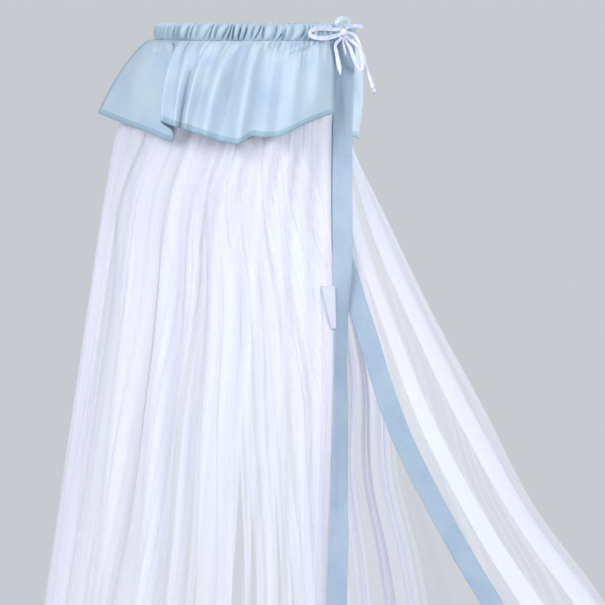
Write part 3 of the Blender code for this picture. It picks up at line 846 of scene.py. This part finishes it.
def make_heading():
    """The gathered tunnel of cloth, with close uneven puckers that lean as they rise."""
    rng = np.random.default_rng(5)
    first, final = HEADING_ENDS_DEG
    widths = np.exp(rng.normal(0, PUCKER_SPREAD, HEADING_PUCKERS))
    edges = np.concatenate([[0], np.cumsum(widths)])
    edges /= edges[-1]
    pucker, f = fold_columns(HEADING_PUCKERS, PUCKER_COLUMNS)
    share = edges[pucker] + np.diff(edges)[pucker] * f
    lean = rng.normal(*PUCKER_LEAN_DEG, HEADING_PUCKERS + 1)
    lean_here = (lean[pucker] * (1 - f) + lean[pucker + 1] * f) * np.sin(np.pi * share) ** 0.2
    depth_here = np.exp(rng.normal(0, PUCKER_DEPTH_SPREAD, HEADING_PUCKERS))[pucker]
    ridge = np.abs(np.sin(np.pi * f)) ** 0.7
    turns = np.linspace(0, 1, HEADING_TURNS)
    profile = smooth_rows(HEADING_PROFILE, turns)
    radius, down, swell, sink, leans = [profile[:, i][:, None] for i in range(5)]
    wobble = wander(rng, HEADING_PUCKERS + 1, 5, HEADING_TURNS)
    wobble_here = (wobble[pucker] * (1 - f)[:, None] + wobble[pucker + 1] * f[:, None]).T
    mid = np.sin(np.pi * turns)[:, None]
    degrees = first + (final - first) * share[None, :] + lean_here[None, :] * leans
    degrees = degrees + PUCKER_WOBBLE_DEG * wobble_here * mid
    gather = depth_here * (PUCKER_HEIGHT * ridge - PUCKER_MIDDLE)
    out = radius + gather[None, :] * swell
    z = -(down + PUCKER_SINK * sink * (1 - ridge)[None, :] * depth_here)
    points = np.swapaxes(ring_points(degrees, out, z), 0, 1)
    around = run_lengths(points.mean(axis=1)) * HEADING_FULLNESS
    uv = uv_grid(around[:, None], (turns * HEADING_STRIP)[None, :])
    item = sheet_mesh("heading_gathers", points, CASING, uv, wrap=True)
    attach(item, ROOT)
    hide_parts("heading")


make_heading()


# ---- Frills ----
FRILL_ROWS = 46
FRILL_THICKNESS = 0.0013
FINE_GATHER = 0.0044
BROAD_FOLD = 0.0036
SINGLE_PLY = 0.45
DOUBLED_EDGE = (0.0088, 0.0104)


def frill_points(ribs, columns, rng, gathers, creases):
    """A frill's rows from the seam to the hem, with its gathers, folds and creases."""
    numbered = np.column_stack([np.arange(len(ribs)), np.array(ribs)])
    along = smooth_rows(numbered, np.linspace(0, len(ribs) - 1, columns + 1))
    degrees, hem_x, hem_y, hem_z, belly, spring = [along[:, i] for i in range(6)]
    share = np.linspace(0, 1, FRILL_ROWS + 1) ** 0.9
    phase = np.cumsum(np.exp(wander(rng, 1, 14, columns + 1)[0] * 0.5))
    phase = phase / phase[-1] * gathers * 2 * np.pi
    strength = 1 + 0.5 * wander(rng, 1, 30, columns + 1)[0]
    fade = np.exp(-((share / 0.20) ** 1.3))[:, None]
    longer = np.exp(-share / 0.30)[:, None]
    top = ring_points(degrees, FRILL_TOP_RADIUS, np.full_like(degrees, -FRILL_TOP))
    flat = share[:, None] ** spring[None, :]
    drop = (share**FRILL_FALL)[:, None]
    x = top[:, 0] + (hem_x - top[:, 0]) * flat
    y = top[:, 1] + (hem_y - top[:, 1]) * flat
    z = top[:, 2] + (hem_z - top[:, 2]) * drop
    size = np.hypot(hem_x, hem_y)
    s = share[:, None]
    bulge = belly * 4 * s * (1 - s)
    fine = FINE_GATHER * (1 - 2 * np.abs(np.sin(phase / 2)) ** 0.8) * strength * fade
    broad = BROAD_FOLD * np.cos(phase / 3.0 + 0.7) * strength * longer * np.minimum(s * 6, 1)
    out = bulge + (fine + broad) * np.minimum(0.30 + s * 8, 1.0)
    for start_deg, start, end_deg, end, half_deg, height in creases:
        along_it = np.clip((s - start) / (end - start), 0.0, 1.0)
        middle = start_deg + (end_deg - start_deg) * along_it
        inside = smoothstep(start - 0.06, start + 0.04, s)
        inside = inside * (1 - smoothstep(end - 0.12, end + 0.06, s))
        out = out + height * inside * np.exp(-(((degrees - middle) / half_deg) ** 2))
    return np.stack([x + hem_x / size * out, y + hem_y / size * out, z + 0 * out], axis=-1)


def make_frill(name, node, ribs, columns, gathers, seed, material, creases=()):
    """A gathered frill: fine gathers die out from the seam, its folds run on to the doubled hem."""
    rng = np.random.default_rng(seed)
    points = frill_points(ribs, columns, rng, gathers, creases)
    down = run_lengths(points)
    across = run_lengths(points.swapaxes(0, 1)).T
    to_side = np.minimum(across, across[:, -1:] - across)
    edge = np.minimum(down[-1] - down, to_side)
    item = sheet_mesh(name, points, material, arc_uv(points))
    point_attribute(item, "hem", edge)
    group = item.vertex_groups.new(name="doubled")
    weights = SINGLE_PLY + (1 - SINGLE_PLY) * (1 - smoothstep(*DOUBLED_EDGE, edge))
    for index, weight in enumerate(weights.ravel()):
        group.add([index], float(weight), "REPLACE")
    thicken(item, FRILL_THICKNESS).vertex_group = "doubled"
    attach(item, ROOT)
    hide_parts(node)


# Creases on the front frill: soft troughs and ridges that run down from near the seam.
FRONT_CREASES = (
    # start_deg, start_share, end_deg, end_share, half_deg, height
    (40.0, 0.08, 20.0, 0.36, 4.0, -0.0045),
    (34.0, 0.10, 15.0, 0.30, 2.6, 0.0030),
    (-47.0, 0.10, -78.0, 0.34, 5.0, -0.0045),
    (-52.0, 0.05, -80.0, 0.22, 3.5, 0.0030),
    (-52.0, 0.20, -60.0, 0.60, 4.0, -0.0030),
    (-24.0, 0.04, -28.0, 0.50, 1.6, 0.0030),
    (-30.0, 0.04, -33.0, 0.55, 1.4, -0.0030),
    (-14.0, 0.04, -17.0, 0.45, 1.8, -0.0028),
    (12.0, 0.05, 9.0, 0.50, 2.0, -0.0024),
)
make_frill("frill_front", "valance_front", FRONT_RIBS, 340, 44, 3, FRILL, FRONT_CREASES)
# The back frill wears the paler copy of the cotton: painted light.
make_frill("frill_back", "valance_back", BACK_RIBS, 350, 54, 4, FRILL_PAINTED_BACKLIT)


# ---- Edgings ----
BAND_ROWS = 170
BAND_COLUMNS = 10
BAND_THICKNESS = 0.0018
BAND_EDGE = 0.0004
BAND_EDGE_DEG = 50
BAND_SWAY = 0.0012
BAND_RUCK = 0.0005
CREASE_HEIGHT = 0.0010
CREASE_DEPTH = 0.83
CREASE_HALF = 0.006


def make_band(name, node, place, turn_table, side, seed):
    """A doubled strip down one edge of the net, with a pressed fold and small rucks."""
    rng = np.random.default_rng(seed)
    depths = net_depths([place], BAND_ROWS)[:, 0]
    point, inwards = net_outline(np.full(BAND_ROWS + 1, place), depths)
    turn = np.radians(column(turn_table, depths))
    width_way = np.stack([np.cos(turn), np.sin(turn), np.zeros(BAND_ROWS + 1)], axis=-1) * side
    fall = unit(np.gradient(point, axis=0))
    across = BAND_WIDTH / np.linalg.norm(np.cross(fall, width_way), axis=-1)
    normal = unit(np.cross(width_way, fall))
    t = np.linspace(0, 1, BAND_COLUMNS + 1)
    net_side = NET_THICKNESS / 2 * np.abs((inwards * width_way).sum(axis=-1))
    seam = point + width_way * (BAND_GAP + net_side)[:, None]
    points = seam[:, None] + width_way[:, None] * (across[:, None] * t)[..., None]
    sway = BAND_SWAY * wander(rng, 1, 26, BAND_ROWS + 1)[0][:, None] * np.sin(np.pi * t)
    ruck = BAND_RUCK * wander(rng, BAND_COLUMNS + 1, 40, BAND_ROWS + 1).T
    crease = CREASE_HEIGHT * np.exp(-(((depths - CREASE_DEPTH) / CREASE_HALF) ** 2))[:, None]
    points = points + normal[:, None] * (sway + ruck + crease)[..., None]
    down = run_lengths(point)
    uv = uv_grid((t * BAND_WIDTH)[None, :], down[:, None])
    item = sheet_mesh(name, points, BAND, uv)
    thicken(item, BAND_THICKNESS)
    bevel = item.modifiers.new("edge", "BEVEL")
    bevel.width = BAND_EDGE
    bevel.segments = 1
    bevel.angle_limit = math.radians(BAND_EDGE_DEG)
    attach(item, ROOT)
    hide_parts(node)


make_band("edging_left", "band_left", 0.0, LEFT_BAND_TURN, 1.0, 21)
make_band("edging_right", "band_right", 1.0, RIGHT_BAND_TURN, -1.0, 22)


# ---- Label ----
LABEL_ROWS = 24
LABEL_COLUMNS = 10
LABEL_THICKNESS = 0.0010
LABEL_OFF = 0.0022
LABEL_TUCK = 0.004
LABEL_CURL = 0.0035
LABEL_WAVE = 0.0008


def make_label():
    """A blank tape folded to a tab, askew at the left edging's seam."""
    t = np.linspace(0, 1, LABEL_ROWS + 1)
    seam = net_outline(np.zeros(LABEL_ROWS + 1), LABEL_TOP + LABEL_HEIGHT * t)[0]
    seam = seam + np.array([0.0, -LABEL_OFF, 0.0])
    width = LABEL_TOP_WIDTH + (LABEL_FOOT_WIDTH - LABEL_TOP_WIDTH) * t
    s = np.linspace(0, 1, LABEL_COLUMNS + 1)
    x = seam[:, :1] + LABEL_TUCK - (width[:, None] + LABEL_TUCK) * s
    curl = LABEL_CURL * np.sin(np.pi * t)[:, None] * s
    lift = curl + LABEL_WAVE * np.sin(2 * np.pi * s)[None, :] * (1 - t)[:, None]
    points = np.stack([x, seam[:, 1:2] - lift, seam[:, 2:3] + 0 * s], axis=-1)
    item = sheet_mesh("label_tab", points, LABEL, arc_uv(points))
    thicken(item, LABEL_THICKNESS)
    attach(item, ROOT)
    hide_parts("label")


make_label()


# ---- Tie ----
TIE_DEEP = 0.0022
TIE_STEP = 0.0016
TIE_SIDES = 16
TIE_CURL = 0.0006
TIE_TWIST = 0.5
TIE_PRESSED = 0.72
TIE_POINT = 0.34
KNOT_CENTRE = on_ring(KNOT_DEG, KNOT_RADIUS, -KNOT_DEPTH)


def knot_root(degrees):
    """Where a tie leaves the knot at this angle round it, and the way it points."""
    angle = math.radians(degrees)
    ring = math.radians(KNOT_DEG)
    along = Vector((math.cos(ring), math.sin(ring), 0.0))
    up = Vector((0.0, 0.0, 1.0))
    rim = along * KNOT_HALF[0] * math.cos(angle) + up * KNOT_HALF[2] * math.sin(angle)
    away = along * math.cos(angle) / KNOT_HALF[0] + up * math.sin(angle) / KNOT_HALF[2]
    away = away.normalized()
    start = KNOT_CENTRE + rim + away * KNOT_CLEARANCE
    return [start, start + away * KNOT_LEAD]


def tie_route(name):
    (leaves, returns), *points = TIE_ROUTES[name]
    route = knot_root(leaves) + [on_ring(*point) for point in points]
    if returns is not None:
        route += reversed(knot_root(returns))
    return np.array([tuple(p) for p in route])


def even_route(route, step):
    """Evenly spaced points on the smooth curve through a route, and its length."""
    rows = np.column_stack([np.arange(len(route)), route])
    fine = smooth_rows(rows, np.linspace(0, len(route) - 1, 600))
    length = run_lengths(fine)
    count = max(round(length[-1] / step), 8)
    even = np.linspace(0, length[-1], count + 1)
    path = np.stack([np.interp(even, length, fine[:, i]) for i in range(3)], axis=-1)
    return path, float(length[-1])


def make_tie(name, tape, pointed=0.0, rounded=0.0, cloth=TIE):
    """A flat rolled tie along its route, its broad side towards the front."""
    path, length = even_route(tie_route(name), TIE_STEP)
    count = len(path)
    forward = unit(np.gradient(path, axis=0))
    ring = math.radians(KNOT_DEG)
    outwards = np.array([math.sin(ring), -math.cos(ring), 0.0])
    face = outwards * 0.45 + np.array([0.0, -1.0, 0.0]) * 0.75
    side = unit(np.cross(forward, face))
    thick = np.cross(side, forward)
    t = np.linspace(0, 1, count)
    rng = np.random.default_rng(len(name) * 7)
    twist = TIE_TWIST * wander(rng, 1, 5, count)[0]
    narrow = TIE_PRESSED + (1 - TIE_PRESSED) * smoothstep(0.0, 0.25, t)
    if TIE_ROUTES[name][0][1] is not None:
        narrow *= TIE_PRESSED + (1 - TIE_PRESSED) * smoothstep(0.0, 0.25, 1 - t)
    left = (1 - t) * length
    if pointed:
        narrow *= TIE_POINT + (1 - TIE_POINT) * smoothstep(0.0, pointed, left)
    if rounded:
        narrow *= np.sqrt(np.clip(1 - (1 - np.clip(left / rounded, 0, 1)) ** 2, 0.05, 1))
    narrow *= 1 + 0.08 * wander(rng, 1, 9, count)[0]
    a = 2 * np.pi * np.arange(TIE_SIDES) / TIE_SIDES
    ca, sa = np.cos(a), np.sin(a)
    wide = tape / 2 * np.sign(ca) * np.abs(ca) ** 0.8
    deep = TIE_DEEP / 2 * np.sign(sa) * np.abs(sa) ** 0.7 * (1 + 0.25 * np.cos(2 * a))
    curl = TIE_CURL * (np.abs(ca) ** 2)
    c, s = np.cos(twist)[:, None, None], np.sin(twist)[:, None, None]
    side_t = side[:, None] * c + thick[:, None] * s
    thick_t = thick[:, None] * c - side[:, None] * s
    points = (
        path[:, None]
        + side_t * (wide[None, :] * narrow[:, None])[..., None]
        + thick_t * ((deep + curl)[None, :] * np.sqrt(narrow)[:, None])[..., None]
    )
    uv = uv_grid(a[None, :] * 0.001, (t * length)[:, None])
    item = sheet_mesh(name + "_cloth", points, cloth, uv, wrap=True)
    close_ends(item, count, TIE_SIDES)
    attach(item, ROOT)
    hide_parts(name)


def close_ends(item, count, section):
    """Caps a tube's two ends."""
    bm = bmesh.new()
    bm.from_mesh(item.data)
    bm.verts.ensure_lookup_table()
    bm.faces.new([bm.verts[i] for i in range(section)])
    bm.faces.new([bm.verts[(count - 1) * section + i] for i in reversed(range(section))])
    bmesh.ops.recalc_face_normals(bm, faces=bm.faces)
    bm.to_mesh(item.data)
    bm.free()


def make_knot(name, node, centre, half, turn_deg):
    """A pulled knot: a lump with the tie's wraps pressed into it."""
    rings, around = 28, 40
    v = np.linspace(0.02, math.pi - 0.02, rings + 1)[:, None]
    u = (2 * np.pi * np.arange(around) / around)[None, :]
    wraps = 0.10 * np.cos(3.2 * (np.cos(v) * 1.6 + 0.5 * np.cos(u)) * math.pi / 2)
    lumps = 0.05 * np.sin(3 * u + 2 * np.cos(v) * 3)
    radius = 0.93 + wraps + lumps
    x = radius * np.cos(v) * np.ones_like(u) * half[0]
    y = radius * np.sin(v) * np.cos(u) * half[1]
    z = radius * np.sin(v) * np.sin(u) * half[2]
    turn = math.radians(turn_deg)
    points = np.stack(
        [
            centre[0] + x * math.cos(turn) - y * math.sin(turn),
            centre[1] + x * math.sin(turn) + y * math.cos(turn),
            centre[2] + z,
        ],
        axis=-1,
    )
    item = sheet_mesh(name, points, TIE, arc_uv(points), wrap=True)
    close_ends(item, rings + 1, around)
    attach(item, ROOT)
    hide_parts(node)
    return item


KNOT = make_knot("tie_knot_wraps", "tie_knot", KNOT_CENTRE, KNOT_HALF, KNOT_DEG)
LONG = tie_route("tie_end_long")
TIP = LONG[-1] + unit(LONG[-1] - LONG[-2]) * (TIP_KNOT_RADIUS + KNOT_CLEARANCE)
TIP_KNOT = make_knot("tie_tip_wraps", "tie_tip_knot", TIP, (TIP_KNOT_RADIUS,) * 3, 30.0)
make_tie("tie_loop_left", 0.0074)
make_tie("tie_loop_right", 0.0080)
# The back loop wears the darker copy of the tie's cloth: painted shade.
make_tie("tie_loop_back", 0.0080, cloth=TIE_PAINTED_SHADE)
make_tie("tie_end_short", 0.0068, pointed=0.012)
make_tie("tie_end_thin", 0.0044, pointed=0.010)
make_tie("tie_end_long", 0.0062)
make_tie("tie_stub", 0.0062, rounded=0.003)


# ---- Camera, light and floor ----
CAMERA_PLACE = (0.0825, -3.2, 0.03)
CAMERA_DOWN_DEG = 9.08
CAMERA_LENS = 110.73
STUDIO_GREY = rgb(199, 202, 207)
LIGHTS = (
    # name, place, aim, size, power
    ("key_light", (-1.9, -2.7, 1.3), (0.0, 0.0, -0.5), 1.8, 104.0),
    ("fill_light", (2.3, -2.5, 0.7), (0.1, 0.0, -0.6), 1.8, 85.0),
    ("back_light", (0.6, 2.7, 0.9), (0.1, 0.0, -0.7), 2.0, 60.0),
)
FLOOR_PLACE = (0.1, 0.0, -1.70)
FLOOR_RADIUS = 2.4
FLOOR_FADE = (1.0, 1.85)
FLOOR_COLOUR = (0.43, 0.44, 0.455, 1.0)


def make_stage():
    scene = bpy.context.scene
    camera = bpy.data.objects.new("camera", bpy.data.cameras.new("camera"))
    scene.collection.objects.link(camera)
    camera.location = CAMERA_PLACE
    camera.rotation_euler = (math.radians(90 - CAMERA_DOWN_DEG), 0.0, 0.0)
    camera.data.sensor_width = 36.0
    camera.data.lens = CAMERA_LENS
    camera.data.clip_end = 60.0
    scene.camera = camera
    world = bpy.data.worlds.new("studio")
    world.use_nodes = True
    background = world.node_tree.nodes["Background"]
    background.inputs["Color"].default_value = STUDIO_GREY
    background.inputs["Strength"].default_value = 1.0
    scene.world = world
    for name, spot, aim, size, power in LIGHTS:
        light = bpy.data.objects.new(name, bpy.data.lights.new(name, "AREA"))
        light.data.size = size
        light.data.energy = power
        light.location = spot
        way = Vector(aim) - Vector(spot)
        light.rotation_euler = way.to_track_quat("-Z", "Y").to_euler()
        light.visible_camera = False
        scene.collection.objects.link(light)
    floor_mesh = bpy.data.meshes.new("floor")
    turns = np.linspace(0, 2 * math.pi, 97)[:-1]
    ring = [(FLOOR_RADIUS * math.cos(a), FLOOR_RADIUS * math.sin(a), 0.0) for a in turns]
    floor_mesh.from_pydata(ring, [], [tuple(range(len(ring)))])
    n = Nodes("pale_floor")
    away = n.put("ShaderNodeVectorMath", {0: n.place()}, "Value", operation="LENGTH")
    fade = n.ramp(away, *FLOOR_FADE, 1.0, 0.0)
    plain = n.principled(FLOOR_COLOUR, 0.9, specular=0.1)
    floor_mesh.materials.append(n.finish(n.mix_shader(fade, n.transparent(), plain)))
    floor = bpy.data.objects.new("floor", floor_mesh)
    floor.location = FLOOR_PLACE
    scene.collection.objects.link(floor)
    scene.view_settings.view_transform = "Standard"
    scene.view_settings.look = "None"
    scene.cycles.max_bounces = 5
    scene.cycles.diffuse_bounces = 3
    scene.cycles.transmission_bounces = 4
    scene.cycles.transparent_max_bounces = 20


make_stage()
